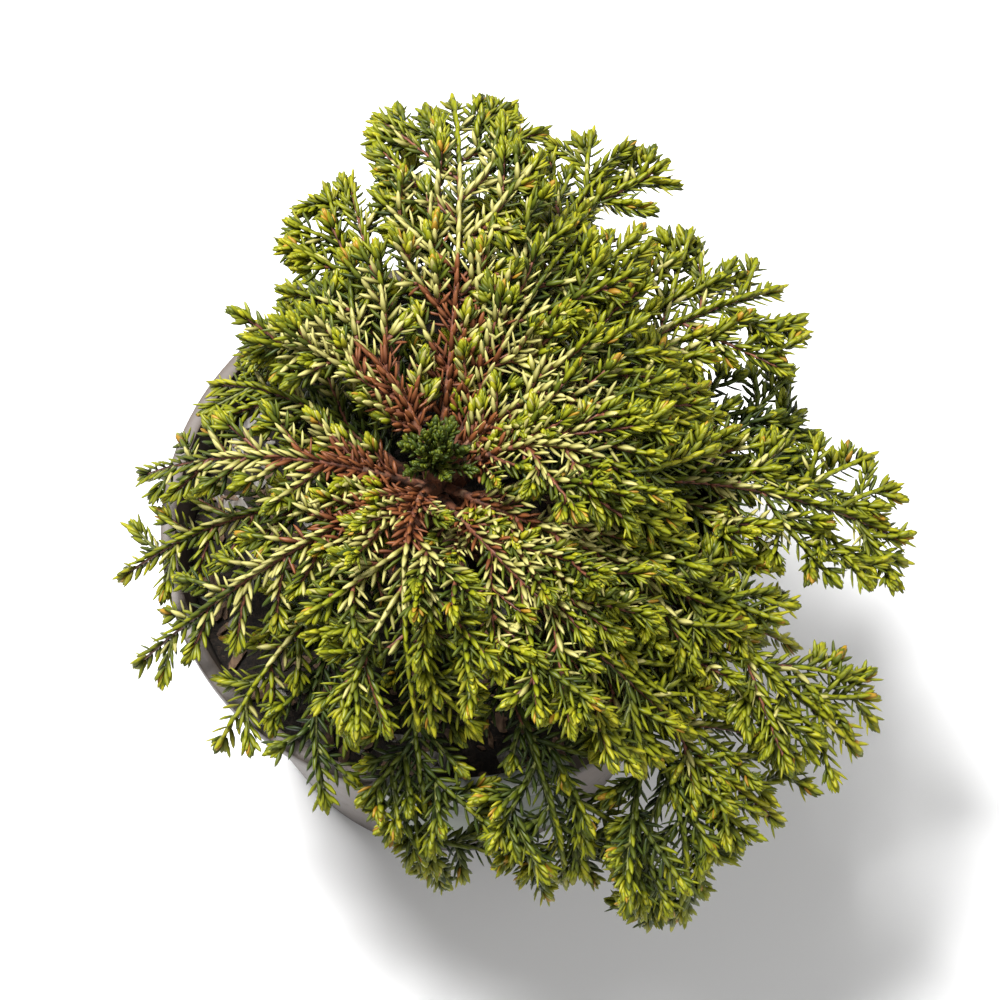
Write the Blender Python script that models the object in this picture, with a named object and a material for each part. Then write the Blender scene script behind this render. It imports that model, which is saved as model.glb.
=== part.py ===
"""Golden tuffet eastern arborvitae in its round nursery pot, in metres with +Z up.

The origin is the middle of the pot's flat underside. A short stem stands on the soil, and its
boughs leave it in four tiers. Each bough is one tapering limb that ends where its own mass of
foliage begins: a twig that carries on along the bough's line, side twigs branching from it in
turn to left and right, and toothed blades, each of which stands for one spray of needles.
"""
import math
import random

import bmesh
import bpy
from mathutils import Matrix, Vector
from mathutils.bvhtree import BVHTree
from mathutils.kdtree import KDTree

# Driving dimensions
GAP = 0.0003
SEGMENTS = 48
POT_HEIGHT = 0.148
RIM_RADIUS = 0.095
RIM_WIDTH = 0.005
RIM_DROP = 0.006
BASE_RADIUS = 0.074
WALL = 0.0015
LIP = 0.0014
EDGE = 0.0006
SOIL_DEPTH = 0.020
DRAIN_HOLES = 6
DRAIN_RADIUS = 0.006
DRAIN_CIRCLE = 0.048

LABEL_BEARING = 276
LABEL_ARC = 36
LABEL_DROP = 0.050
LABEL_HOOK = 0.010
LABEL_THICKNESS = 0.0005

STEM_SPOT = Vector((-0.0037, -0.0030, 0))
STEM_TOP = 0.044
STEM_SIDES = 12
STEM_FOOT_RADIUS = 0.0095
STEM_NECK_RADIUS = 0.0062
STEM_TOP_RADIUS = 0.0040
STEM_FLARE_HEIGHT = 0.014
STEM_FLUTES = 5
STEM_FLUTE_DEPTH = 0.12

# Each bough is given by the bearing of its tip in degrees from +X towards +Y, its reach from the
# stem and its tip's height over the rim in millimetres, and how far its bearing turns on the way.
TIERS = {
    "upper": [
        (344, 76, 46, 22),
        (18, 88, 40, 14),
        (60, 94, 50, -4),
        (88, 126, 55, -8),
        (136, 81, 30, -22),
        (173, 96, 13, 14),
        (207, 106, 1, 15),
        (266, 76, 28, -16),
        (315, 108, 18, -22),
        (338, 120, 8, -20),
    ],
    "middle": [
        (33, 131, 28, 4),
        (62, 132, 38, 10),
        (106, 106, 44, 4),
        (152, 81, 25, -4),
        (190, 103, 0, -2),
        (228, 101, 2, 0),
        (318, 143, -12, -14),
        (330, 151, -2, 4),
        (356, 147, 13, 8),
    ],
    "low": [
        (12, 124, 8, 6),
        (78, 118, 14, -8),
        (128, 86, 8, 8),
        (250, 100, 4, -30),
    ],
    "weeping": [
        (272, 109, -35, -12),
        (290, 117, -31, 0),
        (302, 142, -40, 16),
    ],
}
# Heights over the rim where a tier leaves the stem and where its line is drawn up to, how hard
# that point pulls it outwards, the share of the line that is bare limb, and the limb's radii.
ROOT_HEIGHT = {"upper": 0.036, "middle": 0.020, "low": 0.005, "weeping": 0.002}
CREST_HEIGHT = {"upper": 0.078, "middle": 0.050, "low": 0.032, "weeping": 0.056}
CREST_PULL = {"upper": 0.50, "middle": 0.55, "low": 0.60, "weeping": 0.95}
LIMB_SHARE = {"upper": 0.20, "middle": 0.34, "low": 0.34, "weeping": 0.44}
LIMB_ROOT_RADIUS = {"upper": 0.0017, "middle": 0.0021, "low": 0.0023, "weeping": 0.0023}
LIMB_TIP_RADIUS = 0.0010
LIMB_SIDES = 6
LIMB_PARTS = 4
ROOT_STAGGER = 0.0045

TWIG_RADIUS = 0.0010
TWIG_END_RADIUS = 0.0006
LEADER_PARTS = 5
SIDE_PITCH = 0.0092
SIDE_ANGLE = 43
SIDE_DROOP = 6
SIDE_LENGTH = (0.020, 0.052)
CHILD_ANGLE = 42
CHILD_LEAST = 0.024
BLADE_HALF_WIDTH = 0.0062
BLADE_NOTCH_SHARE = 0.48
BLADE_HALF_THICKNESS = 0.0009
BLADE_RIDGE = (0.20, 0.66)
TOOTH_PITCH = 0.0105
CELL_MARGIN = 0.0009
CLEARANCE = 0.0005
SHORTER = (1.0, 0.86, 0.73, 0.6, 0.48)
TUFT_BLADES = 13
TUFT_HEIGHT = 0.012
TUFT_BLADE_LENGTH = 0.013
GOLDEN_ANGLE = 137.5
SEED = 11

UP = Vector((0, 0, 1))


def clear_scene():
    for obj in list(bpy.data.objects):
        bpy.data.objects.remove(obj, do_unlink=True)


def material(name, colour, roughness, metallic=0.0):
    mat = bpy.data.materials.new(name)
    mat.use_nodes = True
    shader = mat.node_tree.nodes["Principled BSDF"]
    shader.inputs["Base Color"].default_value = (*colour, 1)
    shader.inputs["Roughness"].default_value = roughness
    shader.inputs["Metallic"].default_value = metallic
    return mat


def add_object(name, bm, mat, smooth=False):
    """A new object in the scene from a finished bmesh, which is freed."""
    mesh = bpy.data.meshes.new(name)
    bmesh.ops.recalc_face_normals(bm, faces=bm.faces)
    bm.to_mesh(mesh)
    bm.free()
    mesh.materials.append(mat)
    if smooth:
        mesh.shade_smooth()
        mesh.set_sharp_from_angle(angle=math.radians(40))
    obj = bpy.data.objects.new(name, mesh)
    bpy.context.scene.collection.objects.link(obj)
    return obj


def at_bearing(radius, degrees, height=0.0):
    angle = math.radians(degrees)
    return Vector((radius * math.cos(angle), radius * math.sin(angle), height))


# The pot: a tapering moulded shell with a flat lip that turns down outside


def inner_radius(height):
    """The radius of the pot's inner wall at a height over its underside."""
    low, high = BASE_RADIUS - WALL, RIM_RADIUS - RIM_WIDTH
    return low + (high - low) * (height - WALL) / (POT_HEIGHT - WALL)


def spun(profile):
    """A closed solid turned about Z from a profile that starts and ends on the axis."""
    bm = bmesh.new()
    verts = [bm.verts.new((radius, 0, height)) for radius, height in profile]
    edges = [bm.edges.new(pair) for pair in zip(verts, verts[1:])]
    bmesh.ops.spin(
        bm, geom=verts + edges, axis=UP, cent=(0, 0, 0), steps=SEGMENTS,
        angle=math.tau, use_merge=True,
    )
    bmesh.ops.remove_doubles(bm, verts=bm.verts, dist=1e-6)
    return bm


def make_pot(mat):
    wall_top = RIM_RADIUS - RIM_WIDTH + WALL
    skirt = RIM_RADIUS - WALL + EDGE / 2
    profile = [
        (0, 0),
        (BASE_RADIUS - WALL, 0),
        (BASE_RADIUS, WALL),
        (wall_top, POT_HEIGHT - LIP),
        (skirt, POT_HEIGHT - LIP),
        (skirt, POT_HEIGHT - RIM_DROP),
        (RIM_RADIUS, POT_HEIGHT - RIM_DROP),
        (RIM_RADIUS, POT_HEIGHT - EDGE),
        (RIM_RADIUS - EDGE, POT_HEIGHT),
        (RIM_RADIUS - RIM_WIDTH + EDGE, POT_HEIGHT),
        (RIM_RADIUS - RIM_WIDTH, POT_HEIGHT - EDGE),
        (inner_radius(WALL), WALL),
        (0, WALL),
    ]
    pot = add_object("pot", spun(profile), mat, smooth=True)
    cutters = bmesh.new()
    for index in range(DRAIN_HOLES):
        spot = at_bearing(DRAIN_CIRCLE, 360 / DRAIN_HOLES * index)
        bmesh.ops.create_cone(
            cutters, cap_ends=True, segments=12, radius1=DRAIN_RADIUS, radius2=DRAIN_RADIUS,
            depth=4 * WALL, matrix=Matrix.Translation(spot),
        )
    cutter = add_object("drain_cutters", cutters, mat)
    cutter.hide_render = True
    cutter.display_type = "WIRE"
    drains = pot.modifiers.new("Drain holes", "BOOLEAN")
    drains.operation = "DIFFERENCE"
    drains.object = cutter
    return pot


def make_soil(mat):
    floor = WALL + GAP
    surface = POT_HEIGHT - SOIL_DEPTH
    profile = [
        (0, floor),
        (inner_radius(floor) - GAP, floor),
        (inner_radius(surface) - GAP, surface),
        (0, surface),
    ]
    return add_object("soil", spun(profile), mat, smooth=True)


def make_label(mat):
    """A blank plastic strip hooked over the rim, its face hanging down outside the pot."""
    over = POT_HEIGHT + GAP
    outside = RIM_RADIUS + GAP
    inside = RIM_RADIUS - RIM_WIDTH - 2 * GAP
    hook_end = POT_HEIGHT - LABEL_HOOK
    hook_inside = inner_radius(hook_end) - 2 * GAP
    thick = LABEL_THICKNESS
    profile = [
        (outside + thick, POT_HEIGHT - LABEL_DROP),
        (outside + thick, over + thick),
        (inside - thick, over + thick),
        (hook_inside - thick, hook_end),
        (hook_inside, hook_end),
        (inside, over),
        (outside, over),
        (outside, POT_HEIGHT - LABEL_DROP),
    ]
    bm = bmesh.new()
    face = bm.faces.new([bm.verts.new((radius, 0, height)) for radius, height in profile])
    start = Matrix.Rotation(math.radians(LABEL_BEARING - LABEL_ARC / 2), 4, "Z")
    bmesh.ops.transform(bm, matrix=start, verts=bm.verts)
    bmesh.ops.spin(
        bm, geom=[face], axis=UP, cent=(0, 0, 0), steps=9, angle=math.radians(LABEL_ARC),
    )
    return add_object("label", bm, mat)


# The stem and the boughs


def stem_radius(height):
    """The stem's radius at a height over its foot: a root flare, then a long taper."""
    length = SOIL_DEPTH + STEM_TOP
    taper = STEM_NECK_RADIUS + (STEM_TOP_RADIUS - STEM_NECK_RADIUS) * height / length
    flare = max(0.0, 1 - height / STEM_FLARE_HEIGHT) ** 2
    return taper + (STEM_FOOT_RADIUS - STEM_NECK_RADIUS) * flare


def make_stem(mat):
    foot = POT_HEIGHT - SOIL_DEPTH + GAP
    length = SOIL_DEPTH + STEM_TOP - GAP
    heights = [0, 0.3 * STEM_FLARE_HEIGHT, STEM_FLARE_HEIGHT, 0.45 * length, 0.7 * length, length]
    bm = bmesh.new()
    rings = []
    for height in heights:
        flute = STEM_FLUTE_DEPTH * max(0.0, 1 - height / (2 * STEM_FLARE_HEIGHT))
        ring = []
        for side in range(STEM_SIDES):
            bearing = 360 / STEM_SIDES * side
            swell = 1 + flute * math.cos(math.radians(STEM_FLUTES * bearing))
            spot = STEM_SPOT + at_bearing(stem_radius(height) * swell, bearing, foot + height)
            ring.append(bm.verts.new(spot))
        rings.append(ring)
    skin_rings(bm, rings)
    return add_object("stem", bm, mat, smooth=True)


def skin_rings(bm, rings):
    """Joins rings of points, all with the same number of points, and caps both ends."""
    for low, high in zip(rings, rings[1:]):
        for side in range(len(low)):
            after = (side + 1) % len(low)
            bm.faces.new((low[side], low[after], high[after], high[side]))
    bm.faces.new(reversed(rings[0]))
    bm.faces.new(rings[-1])


class Bough:
    """One bough's line, from the stem to its furthest tip."""

    def __init__(self, tier, number, bearing, reach, tip_height, sweep):
        self.name = f"{tier}_{number}"
        self.tier = tier
        self.bearing, self.sweep = bearing, sweep
        self.reach, self.tip_height = reach / 1000, tip_height / 1000
        self.root_height = ROOT_HEIGHT[tier] + ROOT_STAGGER * (number % 3 - 1)
        self.root_radius = stem_radius(self.root_height + SOIL_DEPTH) + GAP
        self.share = LIMB_SHARE[tier]

    def at(self, t):
        """The point a share t of the way along: a drawn-up curve that turns in plan."""
        pull = 2 * t * (1 - t)
        out = CREST_PULL[self.tier] * pull + t * t
        radius = self.root_radius + (self.reach - self.root_radius) * out
        crest = CREST_HEIGHT[self.tier] + 0.3 * self.tip_height
        height = (1 - t) ** 2 * self.root_height + pull * crest + t * t * self.tip_height
        bearing = self.bearing + self.sweep * (1 - t)
        return STEM_SPOT + at_bearing(radius, bearing, POT_HEIGHT + height)

    def direction(self, t):
        step = 0.01
        return (self.at(min(t + step, 1)) - self.at(max(t - step, 0))).normalized()

    def length(self, start, end, parts=12):
        marks = [self.at(start + (end - start) * n / parts) for n in range(parts + 1)]
        return sum((b - a).length for a, b in zip(marks, marks[1:]))


def frame_along(direction):
    """A side and an upper direction square to a limb's own direction."""
    side = direction.cross(UP)
    if side.length < 0.05:
        side = Vector((1, 0, 0))
    side.normalize()
    return side, side.cross(direction).normalized()


def tube(points, radii, sides, upright_root=False):
    """A tapering limb or twig through the points, flat at both ends."""
    bm = bmesh.new()
    rings = []
    for index, (point, radius) in enumerate(zip(points, radii)):
        before = points[max(index - 1, 0)]
        after = points[min(index + 1, len(points) - 1)]
        along = after - before
        if upright_root and index == 0:
            along.z = 0
        side, top = frame_along(along.normalized())
        ring = []
        for corner in range(sides):
            angle = math.tau * corner / sides
            ring.append(bm.verts.new(point + radius * (math.cos(angle) * side + math.sin(angle) * top)))
        rings.append(ring)
    skin_rings(bm, rings)
    bmesh.ops.recalc_face_normals(bm, faces=bm.faces)
    return bm


def make_limb(bough, mat):
    root = LIMB_ROOT_RADIUS[bough.tier]
    shares = [n / LIMB_PARTS for n in range(LIMB_PARTS + 1)]
    points = [bough.at(bough.share * share) for share in shares]
    radii = [root + (LIMB_TIP_RADIUS - root) * share for share in shares]
    limb = tube(points, radii, LIMB_SIDES, upright_root=True)
    return add_object("bough_" + bough.name, limb, mat, smooth=True)


# The foliage


def blade(root, direction, up, length, width=1.0):
    """A toothed blade, thickest along its middle, that stands for one spray of needles."""
    side = direction.cross(up).normalized()
    up = side.cross(direction).normalized()
    half = BLADE_HALF_WIDTH * width
    teeth = max(2, round(length / (TOOTH_PITCH * width)))
    pitch = 0.90 / teeth
    edge = [(0.0, TWIG_END_RADIUS)]
    for tooth in range(teeth):
        fullness = math.sin(math.pi * (0.22 + 0.56 * (tooth + 0.5) / teeth))
        edge.append((pitch * (tooth + 0.15), half * BLADE_NOTCH_SHARE))
        edge.append((pitch * (tooth + 0.95), half * fullness))
    bm = bmesh.new()

    def spot(along, across, high):
        return bm.verts.new(root + length * along * direction + across * side + high * up)

    tip = spot(1, 0, 0)
    rows = [[spot(along, hand * across, 0) for along, across in edge] + [tip] for hand in (1, -1)]
    middle = sum(BLADE_RIDGE) / 2
    changes = 1 + [along > middle for along, _ in edge].index(True)
    for high in (BLADE_HALF_THICKNESS, -BLADE_HALF_THICKNESS):
        near, far = (spot(along, 0, high) for along in BLADE_RIDGE)
        for row in rows:
            for number, (one, two) in enumerate(zip(row, row[1:]), start=1):
                bm.faces.new((near if number < changes else far, one, two))
            bm.faces.new((near, row[changes - 1], far))
        bm.faces.new((near, rows[0][0], rows[1][0]))
    bmesh.ops.recalc_face_normals(bm, faces=bm.faces)
    return bm


def points_of(bm):
    return [vert.co.copy() for vert in bm.verts]


class Space:
    """The room of each mass: nearer to its own line than to any other, and off the limbs."""

    def __init__(self, lines, solids):
        self.owners = [own for own, line in enumerate(lines) for _ in line]
        self.tree = KDTree(len(self.owners))
        for index, mark in enumerate(mark for line in lines for mark in line):
            self.tree.insert(mark, index)
        self.tree.balance()
        self.solids = solids

    def in_cell(self, point, own):
        nearest = {}
        for _, index, distance in self.tree.find_n(point, 60):
            nearest.setdefault(self.owners[index], distance)
        if own not in nearest:
            return False
        others = [distance for owner, distance in nearest.items() if owner != own]
        return not others or min(others) - nearest[own] > CELL_MARGIN

    def free(self, bm, own):
        """Whether a piece stays in its mass's own cell and off every limb, the pot and label."""
        points = points_of(bm)
        if not all(self.in_cell(point, own) for point in points):
            return False
        tree = BVHTree.FromBMesh(bm)
        for solid in self.solids:
            if tree.overlap(solid):
                return False
            if any(solid.find_nearest(point, CLEARANCE)[0] for point in points):
                return False
        return True


def solid_tree(obj):
    bm = bmesh.new()
    bm.from_mesh(obj.data)
    tree = BVHTree.FromBMesh(bm)
    bm.free()
    return tree


class Mass:
    """One mass's twig and blades, gathered before they are fused."""

    def __init__(self, own, space, twig):
        self.own, self.space = own, space
        self.pieces = [twig]
        self.blades = []

    def try_blade(self, root, direction, up, length, width=1.0, parent=None):
        """Adds a blade at its full length or shorter, or leaves it out, and gives its length.

        It stays in the mass's own cell, and off every other blade but the one it grows from.
        """
        for share in SHORTER:
            bm = blade(root, direction, up, share * length, width)
            tree = BVHTree.FromBMesh(bm)
            crossed = any(number != parent and tree.overlap(other)
                          for number, other in enumerate(self.blades))
            if not crossed and self.space.free(bm, self.own):
                self.pieces.append(bm)
                self.blades.append(tree)
                return share * length
            bm.free()
        return 0


def turned(direction, normal, degrees):
    return (Matrix.Rotation(math.radians(degrees), 3, normal) @ direction).normalized()


def side_shoot(mass, root, direction, up, length, rng):
    """A long blade for a side shoot, with a smaller one growing from it to each hand."""
    length = mass.try_blade(root, direction, up, length)
    parent = len(mass.blades) - 1
    if length < CHILD_LEAST:
        return
    for hand in (-1, 1):
        child = turned(direction, up, hand * (CHILD_ANGLE + rng.uniform(-6, 6)))
        start = root + (0.38 + 0.12 * hand) * length * direction
        mass.try_blade(start, child, up, 0.55 * length * rng.uniform(0.85, 1), parent=parent)


def line_of(bough, parts=40):
    """Marks along the part of a bough's line that its foliage covers."""
    return [bough.at(bough.share + (1 - bough.share) * n / parts) for n in range(parts + 1)]


def grow_mass(bough, own, space):
    rng = random.Random(SEED * 1000 + own)
    run = bough.length(bough.share, 1)
    start = bough.share + GAP / run * (1 - bough.share)
    end = 1 - 0.6 * SIDE_LENGTH[0] / run * (1 - start)
    shares = [n / LEADER_PARTS for n in range(LEADER_PARTS + 1)]
    points = [bough.at(start + (end - start) * share) for share in shares]
    radii = [TWIG_RADIUS + (TWIG_END_RADIUS - TWIG_RADIUS) * share for share in shares]
    mass = Mass(own, space, tube(points, radii, 3))
    root = bough.at(end - 0.05 * (end - start))
    onward = bough.at(1) - root
    mass.try_blade(root, onward.normalized(), frame_along(onward)[1], onward.length)
    count = max(3, round(run / SIDE_PITCH))
    hand = 1 if own % 2 else -1
    for number in range(count):
        t = start + (end - start) * (number + 0.5) / count
        direction = bough.direction(t)
        up = frame_along(direction)[1]
        left_over = (1 - t) / (1 - start)
        length = SIDE_LENGTH[0] + (SIDE_LENGTH[1] - SIDE_LENGTH[0]) * left_over ** 0.8
        length *= rng.uniform(0.88, 1.08)
        hand = -hand
        shoot = turned(direction, up, hand * (SIDE_ANGLE + rng.uniform(-5, 5)))
        shoot = turned(shoot, shoot.cross(up), -SIDE_DROOP)
        side_shoot(mass, bough.at(t), shoot, up, length, rng)
    return mass


def tuft_line(share):
    """A point on the line that the crown's middle tuft grows along, over the stem's top."""
    return STEM_SPOT + UP * (POT_HEIGHT + STEM_TOP + GAP + TUFT_HEIGHT * share)


def grow_tuft(own, space):
    """The short upright shoots in the middle of the crown, standing on the stem's top."""
    rng = random.Random(SEED)
    twig = tube([tuft_line(0), tuft_line(1)], [0.0016, 0.0010], 6)
    mass = Mass(own, space, twig)
    for number in range(TUFT_BLADES):
        lean = math.radians(15 + 55 * number / TUFT_BLADES)
        direction = at_bearing(math.sin(lean), GOLDEN_ANGLE * number, math.cos(lean))
        root = tuft_line(1 - 0.6 * number / TUFT_BLADES)
        up = direction.cross(UP).cross(direction)
        length = TUFT_BLADE_LENGTH * rng.uniform(0.85, 1.1)
        mass.try_blade(root, direction, up, length, width=0.5)
    return mass


def is_closed(mesh):
    bm = bmesh.new()
    bm.from_mesh(mesh)
    closed = len(bm.faces) > 0 and all(edge.is_manifold for edge in bm.edges)
    bm.free()
    return closed


def largest_body(mesh):
    """Drops loose scraps and the skins of sealed hollows, which leaves the mass as one body."""
    bm = bmesh.new()
    bm.from_mesh(mesh)
    bm.verts.index_update()
    left = set(bm.verts)
    bodies = []
    while left:
        seed = left.pop()
        body, edge_of = {seed}, [seed]
        while edge_of:
            vert = edge_of.pop()
            for edge in vert.link_edges:
                other = edge.other_vert(vert)
                if other in left:
                    left.discard(other)
                    body.add(other)
                    edge_of.append(other)
        bodies.append(body)
    bodies.sort(key=len)
    for body in bodies[:-1]:
        bmesh.ops.delete(bm, geom=list(body), context="VERTS")
    bmesh.ops.triangulate(bm, faces=bm.faces)
    bm.to_mesh(mesh)
    bm.free()


def fuse(name, mass, mat):
    """Unites a mass's pieces by one Boolean on their collection, which is then removed."""
    others = bpy.data.collections.new("pieces_" + name)
    bpy.context.scene.collection.children.link(others)
    whole = add_object(name, mass.pieces[0], mat)
    for number, bm in enumerate(mass.pieces[1:]):
        piece = add_object(f"piece_{number}", bm, mat)
        bpy.context.scene.collection.objects.unlink(piece)
        others.objects.link(piece)
    union = whole.modifiers.new("Fuse", "BOOLEAN")
    union.operation = "UNION"
    union.operand_type = "COLLECTION"
    union.collection = others
    for solver in ("EXACT", "MANIFOLD"):
        union.solver = solver
        graph = bpy.context.evaluated_depsgraph_get()
        fused = bpy.data.meshes.new_from_object(whole.evaluated_get(graph))
        if is_closed(fused):
            break
    whole.modifiers.remove(union)
    largest_body(fused)
    whole.data = fused
    for piece in list(others.objects):
        bpy.data.objects.remove(piece, do_unlink=True)
    bpy.data.collections.remove(others)
    return whole


clear_scene()
pot_plastic = material("pot_plastic", (0.19, 0.15, 0.12), 0.5)
label_plastic = material("label_plastic", (0.10, 0.11, 0.09), 0.4)
potting_soil = material("potting_soil", (0.02, 0.016, 0.012), 0.95)
bark = material("bark", (0.16, 0.06, 0.03), 0.75)
foliage = {
    "upper": material("foliage_straw", (0.42, 0.40, 0.12), 0.55),
    "middle": material("foliage_lime", (0.26, 0.33, 0.03), 0.55),
    "low": material("foliage_green", (0.10, 0.16, 0.02), 0.6),
    "weeping": material("foliage_shade", (0.13, 0.17, 0.03), 0.6),
    "tuft": material("foliage_tuft", (0.06, 0.12, 0.02), 0.6),
}

solids = [make_pot(pot_plastic), make_soil(potting_soil), make_label(label_plastic)]
solids.append(make_stem(bark))
boughs = [
    Bough(tier, number, *row)
    for tier, rows in TIERS.items()
    for number, row in enumerate(rows, start=1)
]
solids += [make_limb(bough, bark) for bough in boughs]
lines = [line_of(bough) for bough in boughs] + [[tuft_line(n / 4) for n in range(5)]]
space = Space(lines, [solid_tree(solid) for solid in solids])
for own, bough in enumerate(boughs):
    fuse("foliage_" + bough.name, grow_mass(bough, own, space), foliage[bough.tier])
fuse("foliage_tuft", grow_tuft(len(boughs), space), foliage["tuft"])
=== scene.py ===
"""The looks of a golden tuffet eastern arborvitae in its nursery pot, in metres with +Z up.

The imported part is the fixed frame. The pot, the label and the soil come first, then the stem, the
boughs, the twigs and the needles, and last the floor, the lights and the camera.
"""

import math
import random

import bmesh
import bpy
import numpy as np
from mathutils import Matrix, Vector, noise
from mathutils.kdtree import KDTree


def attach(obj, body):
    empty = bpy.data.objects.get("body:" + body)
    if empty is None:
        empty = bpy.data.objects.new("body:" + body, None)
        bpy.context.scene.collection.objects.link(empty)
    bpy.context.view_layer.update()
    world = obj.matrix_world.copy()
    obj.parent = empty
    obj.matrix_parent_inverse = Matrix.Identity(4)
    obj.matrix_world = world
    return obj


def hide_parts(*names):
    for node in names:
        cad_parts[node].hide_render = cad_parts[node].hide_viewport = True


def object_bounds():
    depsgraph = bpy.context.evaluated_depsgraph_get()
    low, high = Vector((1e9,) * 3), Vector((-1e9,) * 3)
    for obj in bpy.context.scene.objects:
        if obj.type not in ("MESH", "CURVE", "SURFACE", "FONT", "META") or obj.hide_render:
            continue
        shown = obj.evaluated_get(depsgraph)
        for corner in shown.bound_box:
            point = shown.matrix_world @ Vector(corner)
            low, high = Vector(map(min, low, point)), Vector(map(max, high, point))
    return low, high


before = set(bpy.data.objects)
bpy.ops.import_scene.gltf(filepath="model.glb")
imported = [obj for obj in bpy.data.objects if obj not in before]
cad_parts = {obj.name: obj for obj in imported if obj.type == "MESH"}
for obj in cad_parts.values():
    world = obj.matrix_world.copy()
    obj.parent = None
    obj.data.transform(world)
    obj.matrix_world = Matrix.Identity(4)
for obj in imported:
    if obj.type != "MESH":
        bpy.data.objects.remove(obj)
cad_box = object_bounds()


# The pot: a tapering shell of thin taupe plastic, moulded in one piece with a flat lip that
# turns down outside and six drain holes in its floor. It is matt, lightly mottled and scuffed,
# and darkened on its inner wall from the bottom up to a wavy line near the rim.

POT_HEIGHT = 0.148
RIM_RADIUS = 0.095
RIM_WIDTH = 0.005
RIM_DROP = 0.006
BASE_RADIUS = 0.074
WALL = 0.0015
LIP = 0.0014
SOIL_TOP = POT_HEIGHT - 0.020
STEP_DROP = 0.016
FOOT_WIDTH = 0.010
FOOT_HOLLOW = 0.0012
FLOOR_TOP = 0.0022
FLOOR_EDGE = 0.003
MID_WALL = 0.1
SOFT_EDGE = 0.0007
NICK = 0.0004
POT_STEPS = 144
DRAIN_HOLES = 6
DRAIN_RADIUS = 0.006
DRAIN_CIRCLE = 0.048
DRAIN_SIDES = 32
DRILL_LENGTH = 0.02

TAUPE = (0.105, 0.080, 0.065)
TAUPE_WORN = (0.160, 0.128, 0.107)
TAUPE_DARK = (0.055, 0.041, 0.033)
INNER_WALL_DARK = (0.030, 0.024, 0.018)
STREAK_SHARE = 0.22
SCUFF_SHARE = 0.45
FOOT_SHADE = 0.5
FOOT_SHADE_TOP = 0.10
INNER_WALL_DARK_SHARE = 0.9
INNER_WALL_DARK_EDGE = (0.135, 0.147)
INNER_WALL_DARK_WAVES = 0.014


class Signal:
    """A socket in a material, on which the usual operators add Math nodes."""

    def __init__(self, finish, socket):
        self.finish, self.socket = finish, socket

    def math(self, operation, first, second):
        return self.finish.node("ShaderNodeMath", {"operation": operation}, {0: first, 1: second})

    def __add__(self, other):
        return self.math("ADD", self, other)

    def __rsub__(self, other):
        return self.math("SUBTRACT", other, self)

    def __mul__(self, other):
        return self.math("MULTIPLY", self, other)

    def __lt__(self, other):
        return self.math("LESS_THAN", self, other)

    __radd__, __rmul__ = __add__, __mul__

    def rise(self, low, high):
        """0 below low and 1 above high, with a smooth rise between."""
        return self.finish.node(
            "ShaderNodeMapRange", {"interpolation_type": "SMOOTHSTEP"},
            {"Value": self, "From Min": low, "From Max": high},
        )


class Finish:
    """A material and its node tree."""

    def __init__(self, name, **constants):
        self.material = bpy.data.materials.new(name)
        self.material.use_nodes = True
        self.tree = self.material.node_tree
        self.shader = self.tree.nodes["Principled BSDF"]
        for socket, value in constants.items():
            self.shader.inputs[socket.replace("_", " ")].default_value = value
        self.place = self.node("ShaderNodeTexCoord", output="Object")

    def node(self, kind, settings=None, inputs=None, output=0):
        """Adds a node: its settings first, then the values or links of its sockets."""
        made = self.tree.nodes.new(kind)
        for name, value in (settings or {}).items():
            setattr(made, name, value)
        for name, value in (inputs or {}).items():
            self.plug(made.inputs[name], value)
        return Signal(self, made.outputs[output])

    def plug(self, socket, value):
        if isinstance(value, Signal):
            self.tree.links.new(value.socket, socket)
        else:
            socket.default_value = value

    def axis(self, name, vector=None):
        return self.node("ShaderNodeSeparateXYZ", None, {0: vector or self.place}, name)

    def noise(self, scale, detail=3.0, roughness=0.55, vector=None):
        return self.node("ShaderNodeTexNoise", None, {
            "Vector": vector or self.place, "Scale": scale, "Detail": detail,
            "Roughness": roughness,
        })

    def stretched(self, x, y, z):
        """The object's own coordinates, drawn out or pressed together along the axes."""
        return self.node(
            "ShaderNodeVectorMath", {"operation": "MULTIPLY"}, {0: self.place, 1: (x, y, z)}
        )

    def blend(self, share, first, second):
        """A mix of two colours, each a colour or a link."""
        mix = self.tree.nodes.new("ShaderNodeMix")
        mix.data_type = "RGBA"
        factor, one, two = (mix.inputs[index] for index in (0, 6, 7))
        for socket, value in ((factor, share), (one, first), (two, second)):
            if isinstance(value, tuple) and len(value) == 3:
                value = (*value, 1)
            self.plug(socket, value)
        return Signal(self, mix.outputs[2])

    def wear(self, colour, roughness, height=None, depth=0.0, strength=1.0):
        """Joins the finished patterns to the shader, with height as a bump of that depth."""
        self.plug(self.shader.inputs["Base Color"], colour)
        self.plug(self.shader.inputs["Roughness"], roughness)
        if height:
            bump = self.node(
                "ShaderNodeBump", None, {"Height": height, "Distance": depth, "Strength": strength}
            )
            self.plug(self.shader.inputs["Normal"], bump)
        return self.material


def show(name, bm, material, smooth_under=40):
    """Puts a finished bmesh in the scene as an object that rides on the plant's one body."""
    mesh = bpy.data.meshes.new(name)
    bm.to_mesh(mesh)
    bm.free()
    mesh.materials.append(material)
    mesh.shade_smooth()
    mesh.set_sharp_from_angle(angle=math.radians(smooth_under))
    obj = bpy.data.objects.new(name, mesh)
    bpy.context.scene.collection.objects.link(obj)
    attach(obj, "root")
    return obj


def at_bearing(radius, degrees, height=0.0):
    angle = math.radians(degrees)
    return Vector((radius * math.cos(angle), radius * math.sin(angle), height))


def inner_radius(height):
    """The radius of the pot's inner wall at a height over its underside."""
    low, high = BASE_RADIUS - WALL, RIM_RADIUS - RIM_WIDTH
    return low + (high - low) * (height - WALL) / (POT_HEIGHT - WALL)


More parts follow.
